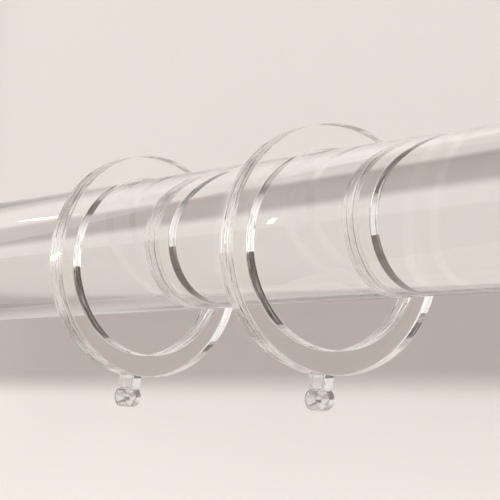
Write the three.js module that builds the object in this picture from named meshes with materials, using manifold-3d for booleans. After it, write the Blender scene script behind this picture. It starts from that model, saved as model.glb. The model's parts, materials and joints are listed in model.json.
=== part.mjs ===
// A clear acrylic curtain pole held between two walls, with two loose flat rings on it.
// Units are millimetres. +X runs along the pole, from the left wall to the right wall, and +Z is up.
// The origin is the centre of the left wall plate's back face, on the pole's axis.
import * as THREE from "three";
import { mergeVertices } from "three/addons/utils/BufferGeometryUtils.js";
import Module from "manifold-3d";

const wasm = await Module();
wasm.setup();

// ---- driving dimensions ----
const OPENING_WIDTH = 460; // from wall to wall
const SEAT_GAP = 0.3; // between two pieces that touch, or that are glued together

const POLE_DIAMETER = 38.1;
const POLE_EDGE_BREAK = 0.6;

const RING_PLAY = 12.7; // the bore's diameter over the pole's
const RING_BAND = 6.35; // radial width of the flat ring
const RING_THICKNESS = 6.35;
const RING_EDGE_BREAK = 0.25;
const RING_SPACING = 86.5; // between the two rings' centres
// Each ring hangs loose, so it stands a little askew about Z, and its eyelet a little off the bottom.
const RINGS = [
  { name: "ring_left", side: -1, skewDeg: 4.5, eyeletTurnDeg: -3.5 },
  { name: "ring_right", side: 1, skewDeg: -3.0, eyeletTurnDeg: 0 },
];

const EYELET_BLOCK_WIDTH = 3.2;
const EYELET_BLOCK_HEIGHT = 3.15;
const EYE_DIAMETER = 5.8;
const EYE_LENGTH = 5.2; // along the pole
const EYE_BORE = 2.3;
const EYE_MERGE = 0.25; // how far the eye runs up into its block

const SOCKET_DEPTH = 24; // from the wall to the cup's mouth
const CUP_RIM_WALL = 3.7; // round the wall plate's edge
const CUP_SHOULDER = 2.7; // over the wall plate's face
const CUP_COLLAR_WALL = 3.15; // round the liner
const CUP_EDGE_BREAK = 0.8;
const CUP_WALL_CLEARANCE = 0.5; // the plate, not the cup, bears on the wall
const COVE_RADIUS = 2.5; // between flange and collar

const PLATE_OVERHANG = 5.45; // of the plate's edge beyond the liner
const PLATE_THICKNESS = 6;
const PLATE_EDGE_BREAK = 0.4;

const LINER_WALL = 1.2;
const LINER_BASE = 1.5;
const LINER_SETBACK = 1; // of the liner's rim inside the cup's mouth

const WALL_SCREW_COUNT = 3;
const WALL_SCREW_CIRCLE = 26; // diameter of the circle that the screws stand on
const WALL_SCREW_LENGTH = 30;
const WALL_SCREW_SHANK = 4;
const WALL_SCREW_HEAD = 8;
const WALL_SCREW_HEAD_HEIGHT = 2.4;
const WALL_SCREW_HEAD_RIM = 0.4;
const WALL_SCREW_TIP = 4;
const DRIVE_SLOT_WIDTH = 1;
const DRIVE_SLOT_LENGTH = 4.4;
const DRIVE_SLOT_DEPTH = 1.5;

const CUP_LOCK_DIAMETER = 3;
const POLE_LOCK_DIAMETER = 4;
const POLE_LOCK_INSET = 7.5; // from the cup's mouth
const LOCK_RECESS = 0.3; // of a lock screw's outer end below the surface
const LOCK_HEX_SHARE = 0.5; // hexagon socket across its corners, as a share of the screw's diameter
const LOCK_HEX_DEPTH = 1.5;

const POLE_SIDES = 72;
const RING_SIDES = 84;
const CUP_SIDES = 56;
const LINER_SIDES = 48;
const SCREW_SIDES = 16;
const CUT_PAST = 1; // how far a cutting shape runs past the surface it cuts

// ---- derived sizes ----
const poleRadius = POLE_DIAMETER / 2;
const ringInner = (POLE_DIAMETER + RING_PLAY) / 2;
const ringOuter = ringInner + RING_BAND;
const ringDrop = ringInner - poleRadius - SEAT_GAP; // ring centre below the pole's axis
const middleX = OPENING_WIDTH / 2;
const linerStart = PLATE_THICKNESS + SEAT_GAP;
const poleStart = linerStart + LINER_BASE + SEAT_GAP;
const linerInner = poleRadius + SEAT_GAP;
const linerOuter = linerInner + LINER_WALL;
const cupBore = linerOuter + SEAT_GAP;
const collarRadius = cupBore + CUP_COLLAR_WALL;
const plateRadius = linerOuter + PLATE_OVERHANG;
const platePocket = plateRadius + SEAT_GAP;
const flangeRadius = platePocket + CUP_RIM_WALL;
const flangeFront = linerStart + CUP_SHOULDER;
const cupLockStation = (CUP_WALL_CLEARANCE + PLATE_THICKNESS) / 2;
const poleLockStation = SOCKET_DEPTH - POLE_LOCK_INSET;
const screwFace = PLATE_THICKNESS - SEAT_GAP; // the wall screws' heads lie just below the plate's face

// ---- materials ----
function clearAcrylic(opacity) {
  return new THREE.MeshStandardMaterial({
    color: 0xeef1f0, roughness: 0.05, metalness: 0, transparent: true, opacity,
  });
}
const materials = {
  pole: clearAcrylic(0.3),
  ring: clearAcrylic(0.35),
  eyelet: clearAcrylic(0.45),
  nickel: new THREE.MeshStandardMaterial({ color: 0xc9c7c2, roughness: 0.12, metalness: 1 }),
  steel: new THREE.MeshStandardMaterial({ color: 0x9d9d9b, roughness: 0.38, metalness: 1 }),
  nylon: new THREE.MeshStandardMaterial({ color: 0xe9e7e0, roughness: 0.55, metalness: 0 }),
};

// ---- shape helpers ----
// A profile of [radius, distance along X] pairs, turned about the X axis.
function turned(profile, sides) {
  const points = profile.map(([radius, x]) => new THREE.Vector2(radius, x));
  return new THREE.LatheGeometry(points, sides).rotateZ(-Math.PI / 2);
}

function rod(diameter, length, sides) {
  return new THREE.CylinderGeometry(diameter / 2, diameter / 2, length, sides).rotateZ(-Math.PI / 2);
}

function toSolid(geometry) {
  const bare = geometry.clone();
  for (const name of ["normal", "uv"]) bare.deleteAttribute(name);
  const merged = mergeVertices(bare, 1e-4);
  return new wasm.Manifold(new wasm.Mesh({
    numProp: 3,
    vertProperties: merged.attributes.position.array,
    triVerts: new Uint32Array(merged.index.array),
  }));
}

function toGeometry(solid) {
  const { vertProperties, triVerts } = solid.getMesh();
  const geometry = new THREE.BufferGeometry();
  geometry.setAttribute("position", new THREE.BufferAttribute(vertProperties, 3));
  geometry.setIndex(new THREE.BufferAttribute(triVerts, 1));
  geometry.computeVertexNormals();
  return geometry;
}

function cut(geometry, cutters) {
  const solid = cutters.reduce((left, cutter) => left.subtract(toSolid(cutter)), toSolid(geometry));
  return toGeometry(solid);
}

function named(name, geometry, material) {
  const mesh = new THREE.Mesh(geometry, material.clone());
  mesh.name = name;
  return mesh;
}

// ---- pole ----
function poleGeometry() {
  const end = OPENING_WIDTH - poleStart;
  return turned([
    [0, poleStart],
    [poleRadius - POLE_EDGE_BREAK, poleStart],
    [poleRadius, poleStart + POLE_EDGE_BREAK],
    [poleRadius, end - POLE_EDGE_BREAK],
    [poleRadius - POLE_EDGE_BREAK, end],
    [0, end],
  ], POLE_SIDES);
}

// ---- rings and eyelets, each about the ring's own centre and axis ----
function ringGeometry() {
  const half = RING_THICKNESS / 2;
  const e = RING_EDGE_BREAK;
  return turned([
    [ringInner, -half + e],
    [ringInner + e, -half],
    [ringOuter - e, -half],
    [ringOuter, -half + e],
    [ringOuter, half - e],
    [ringOuter - e, half],
    [ringInner + e, half],
    [ringInner, half - e],
    [ringInner, -half + e],
  ], RING_SIDES);
}

function eyeletGeometry() {
  const blockBottom = ringOuter + SEAT_GAP + EYELET_BLOCK_HEIGHT;
  const eyeCentre = blockBottom - EYE_MERGE + EYE_DIAMETER / 2;
  const blockTop = ringOuter - CUT_PAST;
  const block = new THREE.BoxGeometry(RING_THICKNESS, EYELET_BLOCK_WIDTH, blockBottom - blockTop)
    .translate(0, 0, -(blockBottom + blockTop) / 2);
  const eye = rod(EYE_DIAMETER, EYE_LENGTH, 28).translate(0, 0, -eyeCentre);
  const bore = rod(EYE_BORE, EYE_LENGTH + 2 * CUT_PAST, 18).translate(0, 0, -eyeCentre);
  const rim = rod(2 * (ringOuter + SEAT_GAP), RING_THICKNESS + 2 * CUT_PAST, RING_SIDES);
  const joined = toSolid(block).add(toSolid(eye));
  return toGeometry(joined.subtract(toSolid(bore)).subtract(toSolid(rim)));
}

function makeRing({ name, side, skewDeg, eyeletTurnDeg }) {
  const hung = new THREE.Group();
  hung.position.set(middleX + (side * RING_SPACING) / 2, 0, -ringDrop);
  hung.rotation.z = THREE.MathUtils.degToRad(skewDeg);
  hung.add(named(name, ringGeometry(), materials.ring));
  const eyelet = named(`${name}_eyelet`, eyeletGeometry(), materials.eyelet);
  eyelet.rotation.x = THREE.MathUtils.degToRad(eyeletTurnDeg);
  hung.add(eyelet);
  return hung;
}

// ---- end socket, built at the left wall with its mouth towards +X ----
function wallScrewPlace(index) {
  const angle = Math.PI / 2 + (index * 2 * Math.PI) / WALL_SCREW_COUNT;
  const r = WALL_SCREW_CIRCLE / 2;
  return [r * Math.cos(angle), r * Math.sin(angle)];
}

// The countersunk screw's outline, grown by a clearance, from its tip's shoulder to the x given.
function countersunkProfile(endX, grow) {
  const head = WALL_SCREW_HEAD / 2 + grow;
  const shank = WALL_SCREW_SHANK / 2 + grow;
  return [
    [shank, screwFace - WALL_SCREW_LENGTH + WALL_SCREW_TIP],
    [shank, screwFace - WALL_SCREW_HEAD_HEIGHT],
    [head, screwFace - WALL_SCREW_HEAD_RIM],
    [head, endX],
  ];
}

function wallPlateGeometry() {
  const e = PLATE_EDGE_BREAK;
  const disc = turned([
    [0, 0],
    [plateRadius, 0],
    [plateRadius, PLATE_THICKNESS - e],
    [plateRadius - e, PLATE_THICKNESS],
    [0, PLATE_THICKNESS],
  ], CUP_SIDES);
  const outline = countersunkProfile(screwFace + CUT_PAST, SEAT_GAP * Math.SQRT2);
  const holes = Array.from({ length: WALL_SCREW_COUNT }, (_, i) => {
    const [y, z] = wallScrewPlace(i);
    return turned([[0, screwFace - WALL_SCREW_LENGTH], ...outline, [0, screwFace + CUT_PAST]], SCREW_SIDES)
      .translate(0, y, z);
  });
  return cut(disc, holes);
}

function wallScrewGeometry() {
  const tip = screwFace - WALL_SCREW_LENGTH;
  const body = turned([[0, tip], ...countersunkProfile(screwFace, 0), [0, screwFace]], SCREW_SIDES);
  const slot = new THREE.BoxGeometry(2 * DRIVE_SLOT_DEPTH, DRIVE_SLOT_LENGTH, DRIVE_SLOT_WIDTH);
  const across = new THREE.BoxGeometry(2 * DRIVE_SLOT_DEPTH, DRIVE_SLOT_WIDTH, DRIVE_SLOT_LENGTH);
  return cut(body, [slot.translate(screwFace, 0, 0), across.translate(screwFace, 0, 0)]);
}

// The cove is a quarter circle from the flange's front face to the collar's outside.
function covePoints() {
  const steps = 4;
  return Array.from({ length: steps + 1 }, (_, i) => {
    const angle = (i / steps) * (Math.PI / 2);
    return [
      collarRadius + COVE_RADIUS * (1 - Math.sin(angle)),
      flangeFront + COVE_RADIUS * (1 - Math.cos(angle)),
    ];
  });
}

function radialHole(diameter, station, from, to) {
  const length = to - from;
  return new THREE.CylinderGeometry(diameter / 2, diameter / 2, length, SCREW_SIDES)
    .rotateX(-Math.PI / 2)
    .translate(station, 0, -(from + to) / 2);
}

function socketCupGeometry() {
  const e = CUP_EDGE_BREAK;
  const cup = turned([
    [platePocket, CUP_WALL_CLEARANCE],
    [flangeRadius, CUP_WALL_CLEARANCE],
    [flangeRadius, flangeFront - e],
    [flangeRadius - e, flangeFront],
    ...covePoints(),
    [collarRadius, SOCKET_DEPTH - e],
    [collarRadius - e, SOCKET_DEPTH],
    [cupBore, SOCKET_DEPTH],
    [cupBore, linerStart],
    [platePocket, linerStart],
    [platePocket, CUP_WALL_CLEARANCE],
  ], CUP_SIDES);
  const cupLock = radialHole(
    CUP_LOCK_DIAMETER + 2 * SEAT_GAP, cupLockStation, platePocket - CUT_PAST, flangeRadius + CUT_PAST);
  const poleLock = radialHole(
    POLE_LOCK_DIAMETER + 2 * SEAT_GAP, poleLockStation, cupBore - CUT_PAST, collarRadius + CUT_PAST);
  return cut(cup, [cupLock, poleLock]);
}

function endLinerGeometry() {
  const rim = SOCKET_DEPTH - LINER_SETBACK;
  const liner = turned([
    [0, linerStart],
    [linerOuter, linerStart],
    [linerOuter, rim],
    [linerInner, rim],
    [linerInner, linerStart + LINER_BASE],
    [0, linerStart + LINER_BASE],
  ], LINER_SIDES);
  const hole = radialHole(
    POLE_LOCK_DIAMETER + 2 * SEAT_GAP, poleLockStation, linerInner - CUT_PAST, linerOuter + CUT_PAST);
  return cut(liner, [hole]);
}

// A headless screw that stands radially below the pole, with a hexagon socket in its outer end.
function lockScrewGeometry(diameter, station, from, to) {
  const body = radialHole(diameter, station, from, to);
  const across = (diameter * LOCK_HEX_SHARE) / 2;
  const hex = new THREE.CylinderGeometry(across, across, LOCK_HEX_DEPTH + CUT_PAST, 6)
    .rotateX(-Math.PI / 2)
    .translate(station, 0, -(to + (CUT_PAST - LOCK_HEX_DEPTH) / 2));
  return cut(body, [hex]);
}

function makeSocket(end) {
  const socket = new THREE.Group();
  socket.add(named(`${end}_wall_plate`, wallPlateGeometry(), materials.steel));
  for (let i = 0; i < WALL_SCREW_COUNT; i++) {
    const screw = named(`${end}_wall_screw_${i + 1}`, wallScrewGeometry(), materials.steel);
    const [y, z] = wallScrewPlace(i);
    screw.position.set(0, y, z);
    socket.add(screw);
  }
  socket.add(named(`${end}_socket_cup`, socketCupGeometry(), materials.nickel));
  socket.add(named(`${end}_end_liner`, endLinerGeometry(), materials.nylon));
  const cupLock = lockScrewGeometry(
    CUP_LOCK_DIAMETER, cupLockStation, platePocket, flangeRadius - LOCK_RECESS);
  socket.add(named(`${end}_cup_lock_screw`, cupLock, materials.steel));
  const poleLock = lockScrewGeometry(
    POLE_LOCK_DIAMETER, poleLockStation, linerInner, collarRadius - LOCK_RECESS);
  socket.add(named(`${end}_pole_lock_screw`, poleLock, materials.steel));
  return socket;
}

// ---- assembly ----
const group = new THREE.Group();
group.add(named("pole", poleGeometry(), materials.pole));
for (const ring of RINGS) group.add(makeRing(ring));
group.add(makeSocket("left"));
const rightSocket = makeSocket("right");
rightSocket.position.x = OPENING_WIDTH;
rightSocket.rotation.z = Math.PI; // the same socket, turned to face the left one
group.add(rightSocket);

export default group;
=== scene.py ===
"""Looks for a clear acrylic curtain pole with two loose flat rings, held wall to wall in end sockets.

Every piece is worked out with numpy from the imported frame's sizes, in metres, and rides on its body.
"""
import json
import logging
import math
from dataclasses import dataclass
from enum import Enum

import bmesh
import bpy
import numpy as np
from mathutils import Matrix, Vector


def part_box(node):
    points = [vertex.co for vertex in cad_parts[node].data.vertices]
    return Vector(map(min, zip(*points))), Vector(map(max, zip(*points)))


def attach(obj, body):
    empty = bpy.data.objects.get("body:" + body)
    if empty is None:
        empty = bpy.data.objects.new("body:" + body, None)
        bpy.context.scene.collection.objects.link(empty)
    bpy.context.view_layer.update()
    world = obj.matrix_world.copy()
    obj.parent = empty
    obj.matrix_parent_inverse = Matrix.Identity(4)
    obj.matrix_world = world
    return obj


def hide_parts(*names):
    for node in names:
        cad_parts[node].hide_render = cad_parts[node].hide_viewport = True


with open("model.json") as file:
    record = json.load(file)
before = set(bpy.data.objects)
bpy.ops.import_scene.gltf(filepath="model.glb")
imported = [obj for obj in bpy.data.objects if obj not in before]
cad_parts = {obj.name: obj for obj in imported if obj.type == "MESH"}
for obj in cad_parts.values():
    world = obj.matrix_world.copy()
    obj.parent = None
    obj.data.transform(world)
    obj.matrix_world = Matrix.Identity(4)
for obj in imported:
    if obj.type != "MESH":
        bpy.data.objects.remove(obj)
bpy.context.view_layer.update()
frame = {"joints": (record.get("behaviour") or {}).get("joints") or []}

MM = 0.001
MERGE_DISTANCE = 1e-7
LONG_SPAN = 4.0
TINY = 1e-12
NOISE_ROUGHNESS = 0.55
SHARP_ANGLE = math.radians(32.0)
log = logging.getLogger("curtain_pole")

Socket = bpy.types.NodeSocket
Span = tuple[float, float]
Triple = tuple[float, float, float]
Colour = Triple


# ---------------------------------------------------------------- surfaces
def arc(centre: Span, radius: float, start: float, end: float, steps: int) -> np.ndarray:
    """A circular arc in a (distance, radius) profile plane: centre + radius * (cos t, sin t).

    Args:
        centre: the arc's centre as (distance along the axis, radius from the axis).
        radius: the arc's radius.
        start: the first angle in degrees, from the +distance direction towards +radius.
        end: the last angle in degrees.
        steps: how many spans the arc has.

    Returns:
        An array of steps + 1 points.
    """
    t = np.radians(np.linspace(start, end, steps + 1))
    return np.stack([centre[0] + radius * np.cos(t), centre[1] + radius * np.sin(t)], axis=1)


def eased(profile: np.ndarray, support: float) -> np.ndarray:
    """Adds a point just inside each end of every long span, so that smooth shading stays flat there.

    A span is long if it is longer than LONG_SPAN times the added points' distance.

    Args:
        profile: an (n, 2) polyline.
        support: the distance of the added points from the span's ends.

    Returns:
        The polyline with the support points put in.
    """
    steps = np.diff(profile, axis=0)
    lengths = np.linalg.norm(steps, axis=1, keepdims=True)
    inset = steps / np.maximum(lengths, TINY) * support
    is_long = lengths > LONG_SPAN * support
    near = np.where(is_long, profile[:-1] + inset, np.nan)
    far = np.where(is_long, profile[1:] - inset, np.nan)
    woven = np.stack([profile[:-1], near, far], axis=1).reshape(-1, 2)
    woven = np.vstack([woven, profile[-1:]])
    return woven[~np.isnan(woven[:, 0])]


def turned(profile: np.ndarray, sides: int) -> np.ndarray:
    """A profile turned about the X axis: (x, r) becomes (x, r sin t, -r cos t) for t over a full turn.

    Args:
        profile: an (n, 2) array of (distance along X, radius).
        sides: how many steps the turn has.

    Returns:
        A (sides, n, 3) grid of points, open in the turn's direction.
    """
    t = np.linspace(0.0, 2.0 * np.pi, sides, endpoint=False)[:, None]
    x, r = profile[None, :, 0], profile[None, :, 1]
    return np.stack([x + 0.0 * t, r * np.sin(t), -r * np.cos(t)], axis=2)


def hanging(station: float, along: np.ndarray) -> np.ndarray:
    """A shape turned about X, stood straight down at a station: (x, y, z) becomes (station + y, z, -x)."""
    return np.stack([station + along[:, :, 1], along[:, :, 2], -along[:, :, 0]], axis=2)


def spun(points: np.ndarray, angle: float, axis: str = "X") -> np.ndarray:
    """Points turned by an angle in radians about the named axis through the origin."""
    return points @ np.array(Matrix.Rotation(angle, 3, axis)).T


def grid_object(name: str, points: np.ndarray, wrap_u: bool, wrap_v: bool) -> bpy.types.Object:
    """A smooth mesh object from a grid of points, with a UV map that follows the grid.

    Faces join neighbours (i, j), (i+1, j), (i+1, j+1), (i, j+1); points that coincide are merged.
    U is the share of the way through the rows, and V is the first row's running length in metres.

    Args:
        name: the object's name.
        points: an (nu, nv, 3) grid.
        wrap_u: whether the last row joins the first.
        wrap_v: whether the last column joins the first.

    Returns:
        The linked object, with its normals facing out.
    """
    nu, nv = points.shape[:2]
    rows = np.arange(nu + 1 if wrap_u else nu)
    cols = np.arange(nv + 1 if wrap_v else nv)
    ids = (rows[:, None] % nu) * nv + (cols[None, :] % nv)
    quads = np.stack([ids[:-1, :-1], ids[1:, :-1], ids[1:, 1:], ids[:-1, 1:]], axis=-1).reshape(-1, 4)
    spans = np.linalg.norm(np.diff(points[0, cols % nv], axis=0), axis=1)
    run = np.concatenate([[0.0], np.cumsum(spans)])
    u, v = np.meshgrid(rows / max(len(rows) - 1, 1), run, indexing="ij")
    flat = np.stack([u, v], axis=-1)
    uv = np.stack([flat[:-1, :-1], flat[1:, :-1], flat[1:, 1:], flat[:-1, 1:]], axis=2).reshape(-1, 2)
    mesh = bpy.data.meshes.new(name)
    mesh.vertices.add(nu * nv)
    mesh.vertices.foreach_set("co", points.reshape(-1).astype(np.float32))
    mesh.loops.add(quads.size)
    mesh.loops.foreach_set("vertex_index", quads.reshape(-1).astype(np.int32))
    mesh.polygons.add(len(quads))
    mesh.polygons.foreach_set("loop_start", np.arange(0, quads.size, 4, dtype=np.int32))
    mesh.update(calc_edges=True)
    mesh.uv_layers.new(name="grid").data.foreach_set("uv", uv.reshape(-1).astype(np.float32))
    tidy_mesh(mesh)
    return linked(name, mesh)


def linked(name: str, data: bpy.types.ID) -> bpy.types.Object:
    """Makes an object and links it to the scene.

    Args:
        name: the object's name.
        data: its mesh, camera or light.

    Returns:
        The object.
    """
    made = bpy.data.objects.new(name, data)
    bpy.context.scene.collection.objects.link(made)
    return made


def tidy_mesh(mesh: bpy.types.Mesh) -> None:
    """Merges doubled points, turns every face outwards and shades the mesh smooth.

    Args:
        mesh: the mesh to change.
    """
    work = bmesh.new()
    work.from_mesh(mesh)
    bmesh.ops.remove_doubles(work, verts=work.verts, dist=MERGE_DISTANCE)
    bmesh.ops.recalc_face_normals(work, faces=work.faces)
    work.to_mesh(mesh)
    work.free()
    mesh.polygons.foreach_set("use_smooth", np.ones(len(mesh.polygons), dtype=bool))
    mesh.update()


def bored(piece: bpy.types.Object, cutters: list[bpy.types.Object]) -> bpy.types.Object:
    """Cuts other closed objects out of a piece, removes them, and keeps the new edges crisp.

    Args:
        piece: the closed piece to cut.
        cutters: the closed objects to take away from it.

    Returns:
        The same piece with its new mesh.
    """
    for cutter in cutters:
        cut = piece.modifiers.new("bore", "BOOLEAN")
        cut.operation, cut.solver, cut.object = "DIFFERENCE", "EXACT", cutter
    bpy.context.view_layer.update()
    evaluated = piece.evaluated_get(bpy.context.evaluated_depsgraph_get())
    made = bpy.data.meshes.new_from_object(evaluated)
    old, piece.data = piece.data, made
    made.name = piece.name
    piece.modifiers.clear()
    for cutter in cutters:
        bpy.data.meshes.remove(cutter.data)
    bpy.data.meshes.remove(old)
    made.set_sharp_from_angle(angle=SHARP_ANGLE)
    return piece


def finished(piece: bpy.types.Object, body: str, node: str,
             material: bpy.types.Material) -> bpy.types.Object:
    """Dresses a piece and ties it to the frame.

    Args:
        piece: the finished object.
        body: the CAD body that it rides on.
        node: the CAD node that it stands for.
        material: its material.

    Returns:
        The same piece.
    """
    piece.data.materials.clear()
    piece.data.materials.append(material)
    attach(piece, body)
    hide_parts(node)
    log.info("%s: %d faces on %s", piece.name, len(piece.data.polygons), body)
    return piece


# ---------------------------------------------------------------- node trees
class Graph:
    """A small builder for one node tree."""

    def __init__(self, tree: bpy.types.NodeTree) -> None:
        """Keeps the tree that the nodes are added to."""
        self.tree = tree

    def add(self, kind: str, **settings: object) -> bpy.types.Node:
        """Adds a node.

        Args:
            kind: the node's type.
            **settings: its properties, or the values of its inputs where the name is an input's.

        Returns:
            The new node.
        """
        node = self.tree.nodes.new(kind)
        for key, value in settings.items():
            if hasattr(node, key):
                setattr(node, key, value)
            else:
                node.inputs[key.replace("_", " ")].default_value = value
        return node

    def link(self, source: Socket, target: Socket) -> None:
        """Joins two sockets."""
        self.tree.links.new(source, target)

    def parts(self, vector: Socket) -> bpy.types.NodeOutputs:
        """Splits a vector.

        Args:
            vector: the vector.

        Returns:
            Its X, Y and Z, as outputs with those names.
        """
        split = self.add("ShaderNodeSeparateXYZ")
        self.link(vector, split.inputs["Vector"])
        return split.outputs

    def between(self, value: Socket, spread: Span, low: float, high: float, smooth: bool = False) -> Socket:
        """Maps a value from one range to another, held at both ends.

        Args:
            value: the value.
            spread: the values that become low and high, the smaller first.
            low: the result at the spread's start.
            high: the result at the spread's end.
            smooth: whether the result eases in and out and doesn't run straight.

        Returns:
            The result's socket.
        """
        made = self.add("ShaderNodeMapRange", interpolation_type="SMOOTHSTEP" if smooth else "LINEAR")
        for key, number in zip(("From Min", "From Max", "To Min", "To Max"), (*spread, low, high)):
            made.inputs[key].default_value = number
        self.link(value, made.inputs["Value"])
        return made.outputs["Result"]

    def step(self, value: Socket, start: float, end: float) -> Socket:
        """A smooth step between two places, whichever of them is larger.

        Args:
            value: the value.
            start: where the step is 0.
            end: where the step is 1.

        Returns:
            The step's socket.
        """
        if start > end:
            return self.between(value, (end, start), 1.0, 0.0, smooth=True)
        return self.between(value, (start, end), 0.0, 1.0, smooth=True)

    def product(self, values: list[Socket]) -> Socket:
        """Multiplies values together.

        Args:
            values: the values, at least one.

        Returns:
            Their product.
        """
        result = values[0]
        for value in values[1:]:
            times = self.add("ShaderNodeMath", operation="MULTIPLY")
            self.link(result, times.inputs[0])
            self.link(value, times.inputs[1])
            result = times.outputs["Value"]
        return result

    def mixed(self, share: Socket, one: Socket | Colour, other: Socket | Colour,
              blend: str = "MIX") -> Socket:
        """Lays one colour over another.

        Args:
            share: how much of the other colour there is.
            one: the colour where the share is 0, as a socket or a plain colour.
            other: the colour laid over it.
            blend: how it is laid over.

        Returns:
            The mixed colour.
        """
        made = self.add("ShaderNodeMix", data_type="RGBA", blend_type=blend)
        self.link(share, made.inputs["Factor"])
        for name, given in (("A", one), ("B", other)):
            if isinstance(given, tuple):
                made.inputs[name].default_value = (*given, 1.0)
            else:
                self.link(given, made.inputs[name])
        return made.outputs["Result"]


class Nodes(Graph):
    """One material's node tree, with its Principled shader at self.shader."""

    def __init__(self, name: str) -> None:
        """Starts a material.

        Args:
            name: the material's name.
        """
        self.material = bpy.data.materials.new(name)
        self.material.use_nodes = True
        super().__init__(self.material.node_tree)
        self.shader = self.tree.nodes["Principled BSDF"]

    def coordinates(self, kind: str = "Object", scale: Triple = (1.0, 1.0, 1.0)) -> Socket:
        """Texture coordinates, stretched.

        Args:
            kind: Object, in metres, or UV.
            scale: how much each axis is stretched.

        Returns:
            The coordinates' socket.
        """
        place = self.add("ShaderNodeTexCoord")
        stretch = self.add("ShaderNodeMapping", Scale=scale)
        self.link(place.outputs[kind], stretch.inputs["Vector"])
        return stretch.outputs["Vector"]

    def edge_lines(self, across: float, along: float) -> Socket:
        """Coordinates for lines that run round the X axis.

        They change quickly along the profile, by UV, and slowly round it, by the object's Y and Z.

        Args:
            across: how quickly they change along the profile, per metre.
            along: how quickly they change round the axis, per metre.

        Returns:
            The coordinates' socket.
        """
        solid = self.parts(self.coordinates("Object", (along, along, along)))
        profile = self.parts(self.coordinates("UV", (1.0, across, 1.0)))
        joined = self.add("ShaderNodeCombineXYZ")
        self.link(profile["Y"], joined.inputs["X"])
        self.link(solid["Y"], joined.inputs["Y"])
        self.link(solid["Z"], joined.inputs["Z"])
        return joined.outputs["Vector"]

    def noise(self, vector: Socket, scale: float, detail: float) -> Socket:
        """Noise between 0 and 1.

        Args:
            vector: the coordinates that it is read at.
            scale: how many times finer than the coordinates' unit it is.
            detail: how many finer layers it has.

        Returns:
            The noise's socket.
        """
        made = self.add("ShaderNodeTexNoise", Scale=scale, Detail=detail, Roughness=NOISE_ROUGHNESS)
        self.link(vector, made.inputs["Vector"])
        return made.outputs["Fac"]

    def bump(self, height: Socket, distance: float, strength: float, under: Socket | None = None) -> Socket:
        """A bump normal.

        Args:
            height: the height's pattern, between 0 and 1.
            distance: the height in metres where the pattern is 1.
            strength: how strongly it shows.
            under: another normal that it lies on, if there is one.

        Returns:
            The normal's socket.
        """
        made = self.add("ShaderNodeBump", Distance=distance, Strength=strength)
        self.link(height, made.inputs["Height"])
        if under is not None:
            self.link(under, made.inputs["Normal"])
        return made.outputs["Normal"]

    def clouded(self, cloud: Socket, colour: Colour, darkest: float) -> Socket:
        """Gives the shader a colour that varies a little.

        Args:
            cloud: the variation's pattern, between 0 and 1.
            colour: the colour where the pattern is 1.
            darkest: the share of the colour that is left where the pattern is 0.

        Returns:
            The colour's socket.
        """
        shade = self.mixed(cloud, tuple(c * darkest for c in colour), colour)
        self.link(shade, self.shader.inputs["Base Color"])
        return shade


# ---------------------------------------------------------------- finishes
class Detail(Enum):
    """Which way a surface's fine lines run."""

    DRAWN = "along the pole"
    TURNED = "round the rim"
    MOULDED = "no direction"


@dataclass(frozen=True)
class ClearAcrylic:
    """Clear, colourless acrylic with the fine marks that its making leaves. Scales are per metre."""

    name: str
    detail: Detail
    tint: Colour = (1.0, 0.998, 0.993)
    ior: float = 1.49
    clearness: float = 1.0
    haze: float = 0.05
    wave_height: float = 0.01 * MM
    line_height: float = 0.0
    wave_scale: float = 55.0
    drawn_scale: Triple = (3.0, 900.0, 900.0)
    turned_scale: Span = (500.0, 35.0)
    line_detail: float = 2.0
    grain_scale: float = 900.0
    grain_detail: float = 3.0
    mark_spread: Span = (0.58, 0.80)
    line_spread: Span = (0.50, 0.56)

    def lines(self, n: Nodes) -> Socket:
        """The pattern of fine marks, which runs as the finish's detail says.

        Args:
            n: the material's nodes.

        Returns:
            The pattern, between 0 and 1.
        """
        if self.detail is Detail.DRAWN:
            return n.noise(n.coordinates("Object", self.drawn_scale), 1.0, self.line_detail)
        if self.detail is Detail.TURNED:
            return n.noise(n.edge_lines(*self.turned_scale), 1.0, self.line_detail)
        return n.noise(n.coordinates(), self.grain_scale, self.grain_detail)

    def material(self) -> bpy.types.Material:
        """Builds the node material: clear body, faint ripple, fine lines and a trace of haze.

        Returns:
            The material.
        """
        n = Nodes(self.name)
        n.shader.inputs["Base Color"].default_value = (*self.tint, 1.0)
        n.shader.inputs["IOR"].default_value = self.ior
        n.shader.inputs["Transmission Weight"].default_value = self.clearness
        lines = self.lines(n)
        n.link(n.between(lines, self.mark_spread, 0.0, self.haze), n.shader.inputs["Roughness"])
        soft = n.bump(n.noise(n.coordinates(), self.wave_scale, 1.0), self.wave_height, 1.0)
        if self.line_height > 0.0:
            soft = n.bump(n.between(lines, self.line_spread, 0.0, 1.0), self.line_height, 1.0, soft)
        n.link(soft, n.shader.inputs["Normal"])
        return n.material


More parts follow.
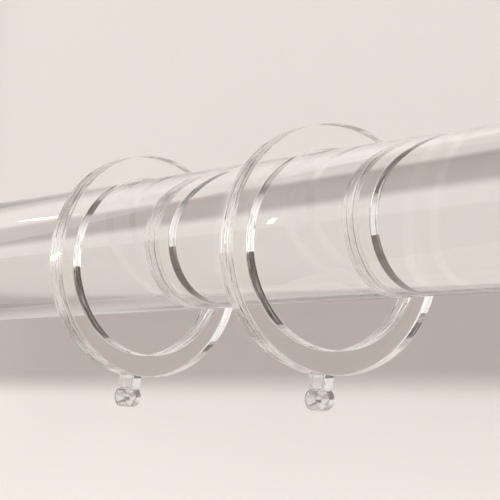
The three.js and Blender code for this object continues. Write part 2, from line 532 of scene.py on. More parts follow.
@dataclass(frozen=True)
class TurnedMetal:
    """Metal with fine lines round its axis, a little colour variation and smudges."""

    name: str
    colour: Colour
    roughness: Span
    line_depth: float = 0.0015 * MM
    line_scale: Span = (3200.0, 12.0)
    line_detail: float = 3.0
    line_strength: float = 0.5
    smudge_scale: float = 55.0
    smudge_detail: float = 4.0
    smudge_spread: Span = (0.35, 0.7)
    darkest: float = 0.88

    def material(self) -> bpy.types.Material:
        """Builds the node material: fine turned lines, smudges and a slight change of colour.

        Returns:
            The material.
        """
        n = Nodes(self.name)
        n.shader.inputs["Metallic"].default_value = 1.0
        lines = n.noise(n.edge_lines(*self.line_scale), 1.0, self.line_detail)
        smudge = n.noise(n.coordinates(), self.smudge_scale, self.smudge_detail)
        n.clouded(smudge, self.colour, self.darkest)
        n.link(n.between(smudge, self.smudge_spread, *self.roughness), n.shader.inputs["Roughness"])
        n.link(n.bump(lines, self.line_depth, self.line_strength), n.shader.inputs["Normal"])
        return n.material


@dataclass(frozen=True)
class MouldedNylon:
    """Matt white nylon with a fine grain."""

    name: str
    colour: Colour = (0.8, 0.78, 0.73)
    roughness: Span = (0.5, 0.62)
    cloud_scale: float = 90.0
    cloud_detail: float = 3.0
    cloud_spread: Span = (0.3, 0.7)
    darkest: float = 0.93
    grain_scale: float = 2500.0
    grain_detail: float = 2.0
    grain_depth: float = 0.02 * MM
    grain_strength: float = 0.4

    def material(self) -> bpy.types.Material:
        """Builds the node material: slight colour variation and a fine grain.

        Returns:
            The material.
        """
        n = Nodes(self.name)
        solid = n.coordinates()
        cloud = n.noise(solid, self.cloud_scale, self.cloud_detail)
        n.clouded(cloud, self.colour, self.darkest)
        n.link(n.between(cloud, self.cloud_spread, *self.roughness), n.shader.inputs["Roughness"])
        grain = n.noise(solid, self.grain_scale, self.grain_detail)
        n.link(n.bump(grain, self.grain_depth, self.grain_strength), n.shader.inputs["Normal"])
        return n.material


# ---------------------------------------------------------------- pole
@dataclass
class Pole:
    """The solid clear rod."""

    edge: float = 0.6 * MM
    edge_steps: int = 6
    support: float = 0.1 * MM
    sides: int = 512

    def build(self) -> bpy.types.Object:
        """Makes the rod: a profile turned about X, with rounded ends that close on the axis.

        Returns:
            The finished pole.
        """
        low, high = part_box("pole")
        radius = (high.y - low.y) / 2.0
        start, end, e = low.x, high.x, self.edge
        profile = np.vstack([
            [(start, 0.0)],
            arc((start + e, radius - e), e, 180.0, 90.0, self.edge_steps),
            arc((end - e, radius - e), e, 90.0, 0.0, self.edge_steps),
            [(end, 0.0)],
        ])
        points = turned(eased(profile, self.support), self.sides)
        piece = grid_object("clear_pole", points, wrap_u=True, wrap_v=False)
        finish = ClearAcrylic("drawn clear acrylic", Detail.DRAWN)
        return finished(piece, "fixed_pole", "pole", finish.material())


# ---------------------------------------------------------------- rings
@dataclass
class HangingRing:
    """One flat ring with its eyelet. side is left or right."""

    side: str
    eyelet_turn: float = 0.0
    bore: float = 25.4 * MM
    band: float = 6.35 * MM
    thickness: float = 6.35 * MM
    edge: float = 0.22 * MM
    edge_steps: int = 4
    support: float = 0.06 * MM
    sides: int = 384
    face_cosine: float = 0.95
    seat: float = 0.3 * MM
    merge: float = 0.25 * MM
    block_width: float = 3.2 * MM
    block_height: float = 3.15 * MM
    block_foot: float = 0.3 * MM
    eye_radius: float = 2.9 * MM
    eye_length: float = 5.2 * MM
    eye_bore: float = 1.15 * MM
    eye_edge: float = 0.25 * MM
    eye_turns: int = 240
    eye_face_rows: int = 12
    fillet: float = 0.12 * MM
    shoulder: float = 0.10 * MM
    glue_gap: float = 0.04 * MM

    def __post_init__(self) -> None:
        """Reads the ring's centre and skew from its joint, and finds the eye's place below the centre."""
        joint = next(j for j in frame["joints"] if j["name"] == f"{self.side}_ring_turn")
        self.centre = Vector(joint["pos_m"])
        self.skew = math.atan2(joint["axis"][1], joint["axis"][0])
        self.rim = self.bore + self.band
        self.eye_drop = self.rim + self.seat + self.block_height - self.merge + self.eye_radius

    def standing(self, points: np.ndarray) -> np.ndarray:
        """Points about the ring's own axis, turned to its skew and moved to its centre."""
        return spun(points, self.skew, "Z") + np.array(self.centre)

    def build_ring(self) -> None:
        """Makes the flat ring: a square section with eased edges, turned about the ring's axis."""
        half, e, steps = self.thickness / 2.0, self.edge, self.edge_steps
        profile = np.vstack([
            arc((-half + e, self.bore + e), e, 270.0, 180.0, steps),
            arc((-half + e, self.rim - e), e, 180.0, 90.0, steps),
            arc((half - e, self.rim - e), e, 90.0, 0.0, steps),
            arc((half - e, self.bore + e), e, 0.0, -90.0, steps),
            [(-half + e, self.bore)],
        ])
        points = turned(eased(profile, self.support)[:-1], self.sides)
        piece = grid_object(f"clear_ring_{self.side}", self.standing(points), True, True)
        face = ClearAcrylic(f"polished ring face {self.side}", Detail.MOULDED, haze=0.02)
        finished(piece, f"{self.side}_ring", f"ring_{self.side}", face.material())
        edge = ClearAcrylic(f"turned ring edge {self.side}", Detail.TURNED, line_height=0.1 * MM)
        piece.data.materials.append(edge.material())
        normals = np.empty(len(piece.data.polygons) * 3, dtype=np.float32)
        piece.data.polygons.foreach_get("normal", normals)
        axis = np.array([math.cos(self.skew), math.sin(self.skew), 0.0])
        is_edge = np.abs(normals.reshape(-1, 3) @ axis) < self.face_cosine
        piece.data.polygons.foreach_set("material_index", is_edge.astype(np.int32))

    def eyelet_outline(self, angle: np.ndarray) -> np.ndarray:
        """How far the eyelet's outline lies from the eye's centre, seen along the pole.

        The outline is the larger of a circle, the eye, and a flat-sided block above it, blended as
        fillet * log(exp(block / fillet) + exp(circle / fillet)).

        Args:
            angle: angles in radians from straight up, positive towards +Y.

        Returns:
            The distances in metres.
        """
        rim, drop = self.rim + self.glue_gap, self.eye_drop
        to_side = self.block_width / 2.0 / np.maximum(np.abs(np.sin(angle)), TINY)
        up = np.cos(angle)
        to_rim = drop * up - np.sqrt(np.maximum(rim**2 - (drop * np.sin(angle)) ** 2, 0.0))
        block = np.where(up > 0.0, np.minimum(to_side, to_rim), 0.0)
        return np.logaddexp(block / self.fillet, self.eye_radius / self.fillet) * self.fillet

    def build_eyelet(self) -> None:
        """Makes the eyelet: a closed loop of sections round the eye's bore, one for each angle.

        Each section runs from the bore, over the end face, to the outline and back on the other side.
        The half length is the eye's below and the ring's above, with 1 / (1 + exp(-height / shoulder))
        between the two.
        """
        e, bore = self.eye_edge, self.eye_bore
        angle = np.linspace(-np.pi, np.pi, self.eye_turns, endpoint=False)[:, None]
        reach = self.eyelet_outline(angle)
        ease = np.radians(np.linspace(0.0, 90.0, self.edge_steps + 1))[None, :]
        face = np.linspace(0.0, 1.0, self.eye_face_rows + 2)[None, 1:-1]
        start, last = bore + e, reach - e
        radii = np.hstack([
            bore + e * (1.0 - np.cos(ease)) + 0.0 * reach,
            start + (last - start) * face,
            last + e * np.sin(ease),
        ])
        inset = np.hstack([e * (1.0 - np.sin(ease)), 0.0 * face, e * (1.0 - np.cos(ease))])
        y = radii * np.sin(angle)
        z = radii * np.cos(angle) - self.eye_drop
        foot = self.eye_radius - self.eye_drop - self.block_foot
        blend = 1.0 / (1.0 + np.exp(-(z - foot) / self.shoulder))
        half = self.eye_length / 2.0 + (self.thickness - self.eye_length) / 2.0 * blend
        front = np.stack([half - inset, y, z], axis=2)
        back = np.stack([inset - half, y, z], axis=2)[:, ::-1]
        points = self.standing(spun(np.concatenate([front, back], axis=1), self.eyelet_turn))
        piece = grid_object(f"clear_eyelet_{self.side}", points, True, True)
        finish = ClearAcrylic(f"moulded clear acrylic {self.side}", Detail.MOULDED,
                              wave_height=0.03 * MM, clearness=0.85)
        finished(piece, f"{self.side}_ring_eyelet", f"ring_{self.side}_eyelet",
                 finish.material())

    def build(self) -> None:
        """Makes the ring and its eyelet."""
        self.build_ring()
        self.build_eyelet()


# ---------------------------------------------------------------- end sockets
class End(Enum):
    """One end of the pole: its name and which way its socket's mouth faces."""

    LEFT = ("left", 1.0)
    RIGHT = ("right", -1.0)


@dataclass
class WallScrew:
    """A countersunk wood screw about its own axis. Stations are distances from the wall along X."""

    face: float = 5.7 * MM
    length: float = 30.0 * MM
    head: float = 4.0 * MM
    head_rim: float = 0.4 * MM
    head_depth: float = 2.4 * MM
    face_edge: float = 0.1 * MM
    shank: float = 2.0 * MM
    core: float = 1.42 * MM
    pitch: float = 1.75 * MM
    point: float = 3.2 * MM
    plain: float = 5.6 * MM
    run_out: float = 0.8 * MM
    sides: int = 72
    point_rows: int = 28
    thread_rows: int = 260
    run_out_rows: int = 8
    plain_rows: int = 6
    flare_rows: int = 10
    ridge_rise: float = 3.0
    ridge_delay: float = 0.3
    recess_depth: float = 1.7 * MM
    recess_past: float = 0.5 * MM
    wing_reach: float = 2.3 * MM
    wing_width: float = 0.55 * MM
    wing_floor: float = 0.55
    wing_mouth: float = 1.15

    def __post_init__(self) -> None:
        """Finds where the head's cone starts and ends."""
        self.head_start = self.face - self.head_depth
        self.head_end = self.face - self.head_rim

    def hole(self, grow: float, start: float, mouth: float) -> np.ndarray:
        """The outline of the hole that the screw sits in.

        Args:
            grow: how much wider than the screw it is all round.
            start: the station of its end in the wall.
            mouth: the station of its mouth.

        Returns:
            The (station, radius) outline, closed on the axis at both ends.
        """
        head, shank = self.head + grow, self.shank + grow
        return np.array([
            [start, 0.0], [start, shank], [self.head_start, shank],
            [self.head_end, head], [mouth, head], [mouth, 0.0],
        ])

    def surface(self) -> np.ndarray:
        """The screw's surface: a lathe whose shank carries a helical ridge.

        The ridge's height is the fourth power of 0.5 + 0.5 cos(x / pitch - t / full turn), in full
        turns. It fades out at the tip and below the head, where the core rises to the plain shank.

        Returns:
            A grid of points.
        """
        tip = self.face - self.length
        start, end = tip + self.point, self.face - self.plain
        x = np.concatenate([
            [tip], np.linspace(tip, start, self.point_rows), np.linspace(start, end, self.thread_rows)[1:],
            np.linspace(end, end + self.run_out, self.run_out_rows)[1:],
            np.linspace(end + self.run_out, self.head_start, self.plain_rows)[1:],
            np.linspace(self.head_start, self.head_end, self.flare_rows)[1:],
            [self.face - self.face_edge, self.face, self.face],
        ])
        cone = np.clip((x - tip) / (start - tip), 0.0, 1.0)
        plain = np.clip((x - end) / self.run_out, 0.0, 1.0)
        flare = np.clip((x - self.head_start) / (self.head_end - self.head_start), 0.0, 1.0)
        ridge = self.shank - self.core
        body = self.core * np.sqrt(cone) + ridge * plain + (self.head - self.shank) * flare
        body[0] = 0.0
        body[-2:] = [self.head - self.face_edge, 0.0]
        t = np.linspace(0.0, 2.0 * np.pi, self.sides, endpoint=False)[:, None]
        wave = 0.5 + 0.5 * np.cos(2.0 * np.pi * (x / self.pitch - t / (2.0 * np.pi)))
        fade = np.clip(cone * self.ridge_rise - self.ridge_delay, 0.0, 1.0) * (1.0 - plain)
        radius = body + ridge * fade * wave**4
        return np.stack([x + 0.0 * t, radius * np.sin(t), -radius * np.cos(t)], axis=2)

    def wing(self, turn: float) -> np.ndarray:
        """One wing of the cross recess: a four-sided prism, narrower at its bottom.

        Args:
            turn: the wing's turn about the screw's axis, in radians.

        Returns:
            A grid of points.
        """
        floor, mouth = self.face - self.recess_depth, self.face + self.recess_past
        profile = np.array([[floor, 0.0], [floor, self.wing_floor], [mouth, self.wing_mouth], [mouth, 0.0]])
        square = spun(turned(profile, 4), math.pi / 4.0)
        return spun(square * np.array([1.0, self.wing_reach, self.wing_width]), turn)


@dataclass
class EndSocket:
    """A wall plate with its screws, the cup that locks over it, and the liner that grips the pole.

    Stations are distances from the wall, in metres.
    """

    end: End
    sides: int = 192
    hole_sides: int = 48
    screw_hole_sides: int = 64
    back_steps: int = 3
    small_steps: int = 4
    plate_steps: int = 6
    edge_steps: int = 8
    round_steps: int = 12
    support: float = 0.12 * MM
    cup_bore: float = 20.85 * MM
    cup_pocket: float = 26.3 * MM
    cup_flange: float = 30.0 * MM
    cup_collar: float = 24.0 * MM
    cup_start: float = 0.5 * MM
    back_edge: float = 0.2 * MM
    mouth_edge: float = 0.3 * MM
    flange_front: float = 9.0 * MM
    mouth: float = 24.0 * MM
    cove: float = 2.5 * MM
    edge: float = 0.8 * MM
    plate_radius: float = 26.0 * MM
    plate_face: float = 6.0 * MM
    plate_edge: float = 0.4 * MM
    plate_back_edge: float = 0.15 * MM
    liner_start: float = 6.3 * MM
    liner_inner: float = 19.35 * MM
    liner_outer: float = 20.55 * MM
    liner_base: float = 7.8 * MM
    liner_rim: float = 23.0 * MM
    liner_edge: float = 0.3 * MM
    cup_lock: float = 3.25 * MM
    pole_lock: float = 16.5 * MM
    cup_lock_radius: float = 1.5 * MM
    pole_lock_radius: float = 2.0 * MM
    lock_edge: float = 0.25 * MM
    lock_support: float = 0.05 * MM
    hexagon_share: float = 0.55
    hexagon_depth: float = 1.2 * MM
    clearance: float = 0.3 * MM
    past: float = 1.0 * MM
    screw_circle: float = 13.0 * MM
    screw_count: int = 3
    first_turn: float = 58.0
    next_turn: float = 41.0

    def __post_init__(self) -> None:
        """Finds the wall's place from the wall plate and the way that the mouth faces."""
        self.name, self.facing = self.end.value
        low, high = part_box(f"{self.name}_wall_plate")
        self.wall = low.x if self.facing > 0.0 else high.x
        self.screw = WallScrew()

    def placed(self, name: str, points: np.ndarray, closed: bool = False) -> bpy.types.Object:
        """Makes a piece at this end: the left end's points, turned half round Z for the right end.

        Args:
            name: the piece's name.
            points: its grid of points, with X as the distance from the wall.
            closed: whether the grid's last column joins its first.

        Returns:
            The piece.
        """
        half_turn = np.array([self.facing, self.facing, 1.0])
        return grid_object(name, points * half_turn + np.array([self.wall, 0.0, 0.0]), True, closed)

    def fastened(self, piece: bpy.types.Object, node: str, material: bpy.types.Material) -> None:
        """Dresses a piece of the socket and ties it to the pole's body."""
        finished(piece, "fixed_pole", f"{self.name}_{node}", material)

    def peg(self, station: float, radius: float, start: float, end: float, sides: int) -> bpy.types.Object:
        """A closed cylinder or prism that stands straight down from the axis.

        Args:
            station: its distance from the wall.
            radius: its radius, across its corners.
            start: the distance of its inner end from the axis.
            end: the distance of its outer end from the axis.
            sides: how many sides it has.

        Returns:
            The piece.
        """
        profile = np.array([[start, 0.0], [start, radius], [end, radius], [end, 0.0]])
        return self.placed("peg", hanging(station, turned(profile, sides)))

    def lock_hole(self, station: float, radius: float, inner: float, outer: float) -> bpy.types.Object:
        """The cutter for a lock screw's hole through a wall.

        Args:
            station: its distance from the wall.
            radius: the screw's radius.
            inner: the pierced wall's inner radius.
            outer: the pierced wall's outer radius.

        Returns:
            The cutter.
        """
        return self.peg(station, radius + self.clearance, inner - self.past, outer + self.past,
                        self.hole_sides)

    def build_cup(self) -> None:
        """Makes the cup: flange, cove and collar, with its two lock screw holes."""
        e, c, b, m = self.edge, self.cove, self.back_edge, self.mouth_edge
        profile = np.vstack([
            [(self.cup_start, self.cup_pocket)],
            arc((self.cup_start + b, self.cup_flange - b), b, 180.0, 90.0, self.back_steps),
            arc((self.flange_front - e, self.cup_flange - e), e, 90.0, 0.0, self.edge_steps),
            arc((self.flange_front + c, self.cup_collar + c), c, 180.0, 270.0, self.round_steps),
            arc((self.mouth - e, self.cup_collar - e), e, 90.0, 0.0, self.edge_steps),
            arc((self.mouth - m, self.cup_bore + m), m, 0.0, -90.0, self.small_steps),
            [(self.liner_start, self.cup_bore), (self.liner_start, self.cup_pocket),
             (self.cup_start, self.cup_pocket)],
        ])
        points = turned(eased(profile, self.support), self.sides)[:, :-1]
        cup = bored(self.placed(f"socket_cup_{self.name}", points, closed=True), [
            self.lock_hole(self.cup_lock, self.cup_lock_radius, self.cup_pocket, self.cup_flange),
            self.lock_hole(self.pole_lock, self.pole_lock_radius, self.cup_bore, self.cup_collar),
        ])
        finish = TurnedMetal(f"polished nickel {self.name}", colour=(0.83, 0.81, 0.77),
                             roughness=(0.05, 0.14))
        self.fastened(cup, "socket_cup", finish.material())

    def build_liner(self) -> None:
        """Makes the liner: a thin cup with a rounded rim and a hole for the pole's lock screw."""
        wall, e = (self.liner_outer - self.liner_inner) / 2.0, self.liner_edge
        profile = np.vstack([
            [(self.liner_start, 0.0)],
            arc((self.liner_start + e, self.liner_outer - e), e, 180.0, 90.0, self.small_steps),
            arc((self.liner_rim - wall, self.liner_inner + wall), wall, 90.0, -90.0, self.round_steps),
            [(self.liner_base, self.liner_inner), (self.liner_base, 0.0)],
        ])
        points = turned(eased(profile, self.support), self.sides)
        liner = bored(self.placed(f"end_liner_{self.name}", points), [
            self.lock_hole(self.pole_lock, self.pole_lock_radius, self.liner_inner, self.liner_outer)])
        finish = MouldedNylon(f"white nylon {self.name}")
        self.fastened(liner, "end_liner", finish.material())

    def screw_places(self) -> list[np.ndarray]:
        """Each wall screw's place, the first straight above the axis and the rest round from it."""
        angles = [math.pi / 2.0 + i * 2.0 * math.pi / self.screw_count for i in range(self.screw_count)]
        return [self.screw_circle * np.array([0.0, math.cos(a), math.sin(a)]) for a in angles]

    def build_plate(self) -> None:
        """Makes the wall plate: a disc with an eased rim and countersunk holes."""
        e, b = self.plate_edge, self.plate_back_edge
        profile = np.vstack([
            [(0.0, 0.0)],
            arc((b, self.plate_radius - b), b, 180.0, 90.0, self.back_steps),
            arc((self.plate_face - e, self.plate_radius - e), e, 90.0, 0.0, self.plate_steps),
            [(self.plate_face, 0.0)],
        ])
        plate = self.placed(f"wall_plate_{self.name}", turned(eased(profile, self.support), self.sides))
        # A cone at 45 degrees grown by the root of 2 times the clearance stands off by the clearance.
        grow = self.clearance * math.sqrt(2.0)
        hole = turned(self.screw.hole(grow, -self.past, self.plate_face + self.past), self.screw_hole_sides)
        plate = bored(plate, [self.placed("hole", hole + place) for place in self.screw_places()])
        finish = TurnedMetal(f"zinc plated plate {self.name}", colour=(0.62, 0.62, 0.60),
                             roughness=(0.28, 0.42), line_depth=0.004 * MM)
        self.fastened(plate, "wall_plate", finish.material())

    def build_screws(self) -> None:
        """Makes the countersunk wall screws, each turned a little differently."""
        finish = TurnedMetal(f"zinc plated screw {self.name}", colour=(0.66, 0.65, 0.61),
                             roughness=(0.2, 0.34), line_depth=0.001 * MM)
        material = finish.material()
        surface = self.screw.surface()
        for i, place in enumerate(self.screw_places()):
            turn = math.radians(self.first_turn + self.next_turn * i)
            screw = self.placed(f"wall_screw_{self.name}_{i + 1}", spun(surface, turn) + place)
            wings = [self.screw.wing(turn), self.screw.wing(turn + math.pi / 2.0)]
            screw = bored(screw, [self.placed("wing", wing + place) for wing in wings])
            self.fastened(screw, f"wall_screw_{i + 1}", material)

    def build_lock(self, kind: str, station: float, radius: float, start: float, end: float) -> None:
        """Makes a headless lock screw with a hexagon socket in its outer end.

        Args:
            kind: cup or pole.
            station: its distance from the wall.
            radius: its radius.
            start: the distance of its inner end from the axis.
            end: the distance of its outer end from the axis.
        """
        e = self.lock_edge
        profile = np.array([
            [start, 0.0], [start, radius - e], [start + e, radius], [end - e, radius],
            [end, radius - e], [end, 0.0]])
        points = hanging(station, turned(eased(profile, self.lock_support), self.hole_sides))
        screw = self.placed(f"{kind}_lock_{self.name}", points)
        hexagon = self.peg(station, radius * self.hexagon_share, end - self.hexagon_depth,
                           end + self.past, 6)
        screw = bored(screw, [hexagon])
        finish = TurnedMetal(f"zinc plated {kind} lock {self.name}", colour=(0.5, 0.5, 0.49),
                             roughness=(0.25, 0.4), line_depth=0.001 * MM)
        self.fastened(screw, f"{kind}_lock_screw", finish.material())

    def build(self) -> None:
        """Makes every piece of the socket."""
        self.build_plate()
        self.build_screws()
        self.build_cup()
        self.build_liner()
        self.build_lock("cup", self.cup_lock, self.cup_lock_radius, self.cup_pocket,
                        self.cup_flange - self.clearance)
        self.build_lock("pole", self.pole_lock, self.pole_lock_radius, self.liner_inner,
                        self.cup_collar - self.clearance)


# ---------------------------------------------------------------- studio
def direction(bearing: float, height: float) -> Vector:
    """The unit vector (sin b cos h, -cos b cos h, sin h).

    Args:
        bearing: b, in degrees round Z from -Y towards +X.
        height: h, in degrees above the horizon.

    Returns:
        The vector.
    """
    b, h = math.radians(bearing), math.radians(height)
    return Vector((math.sin(b) * math.cos(h), -math.cos(b) * math.cos(h), math.sin(h)))


@dataclass(frozen=True)
class Viewpoint:
    """The camera: its place from the pole's middle, and its heading, pitch and roll in degrees."""

    place: Triple = (427.6 * MM, -295.7 * MM, -73.9 * MM)
    heading: float = 54.87
    pitch: float = 7.74
    roll: float = 5.28
    lens: float = 139.84
    clip: Span = (0.01, 50.0)

    def build(self, middle: Vector) -> None:
        """Makes the camera and the way that it shows colour.

        Args:
            middle: the pole's middle.
        """
        h, r = math.radians(self.heading), math.radians(self.roll)
        forward = -direction(self.heading, -self.pitch)
        level = Vector((math.cos(h), math.sin(h), 0.0))
        upright = level.cross(forward)
        right = level * math.cos(r) + upright * math.sin(r)
        up = upright * math.cos(r) - level * math.sin(r)
        turn = Matrix((right, up, -forward)).transposed()
        data = bpy.data.cameras.new("camera")
        data.lens = self.lens
        data.clip_start, data.clip_end = self.clip
        camera = linked("camera", data)
        camera.matrix_world = Matrix.Translation(middle + Vector(self.place)) @ turn.to_4x4()
        bpy.context.scene.camera = camera
        bpy.context.scene.view_settings.view_transform = "Standard"


@dataclass(frozen=True)
class RoomLight:
    """The room's soft light: pale and even, with broad soft patches that reflections show.

    The patches are the ceiling, an end wall, a small dark place high on one side and a brighter key
    light ahead. The ceiling and the end wall have spans of the light's unit direction, and each place
    is a bearing and a height in degrees, with the cosines of the angle to it where its patch begins
    and is full.
    """

    colour: Colour = (0.98, 0.945, 0.905)
    ceiling_colour: Colour = (0.42, 0.39, 0.36)
    ceiling_heights: Span = (0.35, 0.6)
    end_colour: Colour = (0.56, 0.51, 0.465)
    end_front: Span = (-0.30, -0.20)
    end_back: Span = (0.40, 0.30)
    end_side: Span = (-0.5, -0.6)
    dark_colour: Colour = (0.16, 0.135, 0.12)
    dark_place: Span = (-77.0, 39.0)
    dark_spread: Span = (0.984, 0.992)
    key_colour: Colour = (1.7, 1.65, 1.58)
    key_place: Span = (20.0, 14.0)
    key_spread: Span = (0.86, 0.95)

    def patch(self, g: Graph, light: Socket, place: Span, spread: Span) -> Socket:
        """A round soft patch of the room, by the dot product of the light's direction with its place.

        Args:
            g: the room's nodes.
            light: the light's direction.
            place: the patch's bearing and height in degrees.
            spread: the dot products where it begins and where it is full.

        Returns:
            The patch's mask, 1 where it is full.
        """
        dot = g.add("ShaderNodeVectorMath", operation="DOT_PRODUCT")
        dot.inputs[1].default_value = direction(*place)
        g.link(light, dot.inputs[0])
        return g.step(dot.outputs["Value"], *spread)

    def build(self) -> None:
        """Makes the world's nodes."""
        world = bpy.data.worlds.new("room")
        bpy.context.scene.world = world
        world.use_nodes = True
        g = Graph(world.node_tree)
        light = g.add("ShaderNodeTexCoord").outputs["Generated"]
        way = g.parts(light)
        end = g.product([g.step(way["Y"], *self.end_front), g.step(way["Y"], *self.end_back),
                         g.step(way["X"], *self.end_side)])
        colour = g.mixed(g.step(way["Z"], *self.ceiling_heights), self.colour, self.ceiling_colour)
        colour = g.mixed(end, colour, self.end_colour)
        colour = g.mixed(self.patch(g, light, self.dark_place, self.dark_spread), colour, self.dark_colour)
        colour = g.mixed(self.patch(g, light, self.key_place, self.key_spread), colour, self.key_colour)
        g.link(colour, g.tree.nodes["Background"].inputs["Color"])


@dataclass(frozen=True)
class Sheet:
    """A flat or folded sheet of the studio, with a matt colour that varies a little."""

    name: str
    colour: Colour
    cloud_scale: float = 1.2
    cloud_detail: float = 2.0
    cloud_spread: Span = (0.0, 1.0)
    darkest: float = 0.97
    roughness: float = 0.9
    specular: float = 0.1

    def build(self, corners: list[Vector], faces: list[tuple[int, ...]]
              ) -> tuple[bpy.types.Object, Nodes, Socket]:
        """Makes the sheet.

        Args:
            corners: its corners.
            faces: its faces, each as its corners' places in the list.

        Returns:
            The sheet, its nodes and its colour's socket.
        """
        mesh = bpy.data.meshes.new(self.name)
        mesh.from_pydata([tuple(c) for c in corners], [], faces)
        sheet = linked(self.name, mesh)
        n = Nodes(self.name)
        n.shader.inputs["Roughness"].default_value = self.roughness
        n.shader.inputs["Specular IOR Level"].default_value = self.specular
        cloud = n.noise(n.coordinates(), self.cloud_scale, self.cloud_detail)
        colour = n.clouded(n.between(cloud, self.cloud_spread, 0.0, 1.0), self.colour, self.darkest)
        mesh.materials.append(n.material)
        return sheet, n, colour


@dataclass(frozen=True)
class Wall:
    """The pale wall behind the pole, with the pole's painted shadow, painted shade towards its left end
    and its foot, and a painted glow, though it is no lamp, that is stronger below the pole than above.

    Each soft step gives where it is 0 and where it is 1: heights are along Z from the pole's axis, and
    the rest along X from the pole's ends, for the shadow, or its middle. Light and sight pass through
    the wall from its back.
    """

    sheet: Sheet = Sheet("wall_behind", (0.88, 0.855, 0.825))
    behind: float = 84.0 * MM
    near_end: float = 0.5
    far_end: float = 3.0
    # The pole's painted shadow: a soft band on the wall's colour, set by height and by the pole's ends.
    shadow_bottom: Span = (-36.5 * MM, -25.5 * MM)
    shadow_top: Span = (5.0 * MM, -5.0 * MM)
    shadow_left: Span = (-0.12, -0.09)
    shadow_right: Span = (0.03, 0.01)
    shadow_tint: Colour = (0.594, 0.563, 0.558)
    # Painted shade: these steps and this tint darken the wall towards its left end and towards its foot.
    painted_shade_end: Span = (-285.0 * MM, -400.0 * MM)
    painted_shade_foot: Span = (-72.0 * MM, -180.0 * MM)
    painted_shade_tint: Colour = (0.76, 0.75, 0.75)
    # Painted light: the wall's glow, stronger below the pole than above it.
    glow: Span = (0.30, 0.15)
    glow_height: Span = (-10.0 * MM, 30.0 * MM)

    def build(self, middle: Vector, floor: float) -> None:
        """Makes the wall.

        Args:
            middle: the pole's middle.
            floor: the floor's height.
        """
        y, left, right = middle.y + self.behind, middle.x - self.near_end, middle.x + self.far_end
        top = middle.z + self.far_end
        corners = [Vector((left, y, floor)), Vector((right, y, floor)),
                   Vector((right, y, top)), Vector((left, y, top))]
        _, n, colour = self.sheet.build(corners, [(0, 1, 2, 3)])
        low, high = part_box("pole")
        place = n.parts(n.coordinates())
        x, z = place["X"], place["Z"]
        shadow = [n.step(z, *self.shadow_bottom), n.step(z, *self.shadow_top),
                  n.step(x, *(low.x + d for d in self.shadow_left)),
                  n.step(x, *(high.x + d for d in self.shadow_right))]
        # Painted shade at the wall's left end and along its foot, laid on beside the pole's painted shadow.
        end = [n.step(x, *(middle.x + d for d in self.painted_shade_end))]
        foot = [n.step(z, *self.painted_shade_foot)]
        for steps, tint in ((shadow, self.shadow_tint), (end, self.painted_shade_tint), (foot, self.painted_shade_tint)):
            colour = n.mixed(n.product(steps), colour, tint, blend="MULTIPLY")
        n.link(colour, n.shader.inputs["Base Color"])
        # Painted light: the wall glows in its own colour though it is no lamp, more strongly low down.
        lit = n.add("ShaderNodeVectorMath", operation="SCALE")
        n.link(colour, lit.inputs[0])
        n.link(n.between(z, self.glow_height, *self.glow), lit.inputs["Scale"])
        n.link(lit.outputs["Vector"], n.shader.inputs["Emission Color"])
        n.shader.inputs["Emission Strength"].default_value = 1.0
        clear = n.add("ShaderNodeBsdfTransparent")
        sides = n.add("ShaderNodeMixShader")
        n.link(n.add("ShaderNodeNewGeometry").outputs["Backfacing"], sides.inputs["Fac"])
        n.link(n.shader.outputs["BSDF"], sides.inputs[1])
        n.link(clear.outputs["BSDF"], sides.inputs[2])
        n.link(sides.outputs["Shader"], n.tree.nodes["Material Output"].inputs["Surface"])


@dataclass(frozen=True)
class DarkCard:
    """A dark card, folded at its foot, that lies on the floor to one side and stands up at its far end.

    Clear edges are lit this way in a studio. It shows only in reflections and through clear pieces.
    The bearing is in degrees round Z from -Y towards +X, and the half angle from there to each edge.
    """

    sheet: Sheet = Sheet("dark_card", (0.16, 0.135, 0.12), cloud_scale=9.0, cloud_detail=3.0,
                         cloud_spread=(0.35, 0.65), darkest=0.6, specular=0.5)
    bearing: float = -70.0
    half_angle: float = 33.0
    near: float = 0.54
    far: float = 2.0
    top: float = -100.0 * MM
    off_floor: float = 1.0 * MM

    def build(self, middle: Vector, floor: float) -> None:
        """Makes the card.

        Args:
            middle: the pole's middle.
            floor: the floor's height.
        """
        foot = floor - middle.z + self.off_floor
        sides = (self.bearing - self.half_angle, self.bearing + self.half_angle)
        corners = [middle + direction(side, 0.0) * distance + Vector((0.0, 0.0, height))
                   for distance, height in ((self.near, foot), (self.far, foot), (self.far, self.top))
                   for side in sides]
        card = self.sheet.build(corners, [(0, 1, 3, 2), (2, 3, 5, 4)])[0]
        card.visible_camera = card.visible_diffuse = card.visible_shadow = False


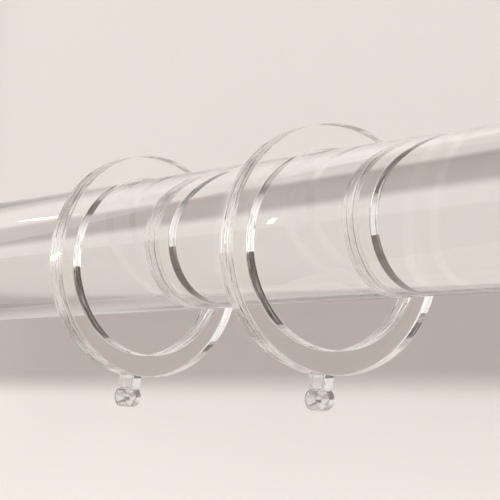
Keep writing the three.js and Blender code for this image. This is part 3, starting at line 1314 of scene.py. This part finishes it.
@dataclass(frozen=True)
class Lamp:
    """A small rectangular light that faces the pole's middle.

    The place is its bearing and height in degrees, the size its width and height, and the radiance how
    bright its face is, where a white wall in even light is 1.
    """

    name: str
    place: Span
    size: Span
    radiance: float
    distance: float = 1.0

    def build(self, middle: Vector) -> None:
        """Makes the light.

        Args:
            middle: the pole's middle.
        """
        away = direction(*self.place)
        data = bpy.data.lights.new(self.name, "AREA")
        data.shape = "RECTANGLE"
        data.size, data.size_y = self.size
        data.energy = self.radiance * math.pi * self.size[0] * self.size[1]
        made = linked(self.name, data)
        made.rotation_euler = away.to_track_quat("Z", "Y").to_euler()
        made.location = middle + away * self.distance
        made.visible_camera = made.visible_transmission = False


@dataclass(frozen=True)
class Studio:
    """Camera, wall, floor, dark card and soft light, all set out from the pole's middle."""

    viewpoint: Viewpoint = Viewpoint()
    light: RoomLight = RoomLight()
    wall: Wall = Wall()
    floor: Sheet = Sheet("floor", (0.80, 0.775, 0.745))
    floor_below: float = 420.0 * MM
    floor_half: float = 3.0
    card: DarkCard = DarkCard()
    lamps: tuple[Lamp, ...] = (
        Lamp("strip_tall", (-51.2, 2.4), (0.006, 0.09), 6.0),
        Lamp("strip_short", (-50.0, 3.0), (0.008, 0.06), 8.0),
        Lamp("glint_long", (-75.3, 24.6), (0.045, 0.02), 5.0),
        Lamp("glint_short", (-74.9, 25.2), (0.02, 0.03), 3.5),
    )

    def build(self) -> None:
        """Makes the whole studio."""
        low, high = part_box("pole")
        middle = (low + high) / 2.0
        self.viewpoint.build(middle)
        self.light.build()
        level, half = middle.z - self.floor_below, self.floor_half
        self.wall.build(middle, level)
        corners = [Vector((middle.x + a * half, middle.y + b * half, level))
                   for a, b in ((-1.0, -1.0), (1.0, -1.0), (1.0, 1.0), (-1.0, 1.0))]
        self.floor.build(corners, [(0, 1, 2, 3)])
        self.card.build(middle, level)
        for lamp in self.lamps:
            lamp.build(middle)


def main() -> None:
    """Builds the studio and every sub-assembly in order."""
    logging.basicConfig(level=logging.INFO, format="%(name)s %(message)s")
    Studio().build()
    Pole().build()
    HangingRing("left", eyelet_turn=math.radians(-3.5)).build()
    HangingRing("right").build()
    for end in End:
        EndSocket(end).build()


if __name__ == "__main__":
    main()
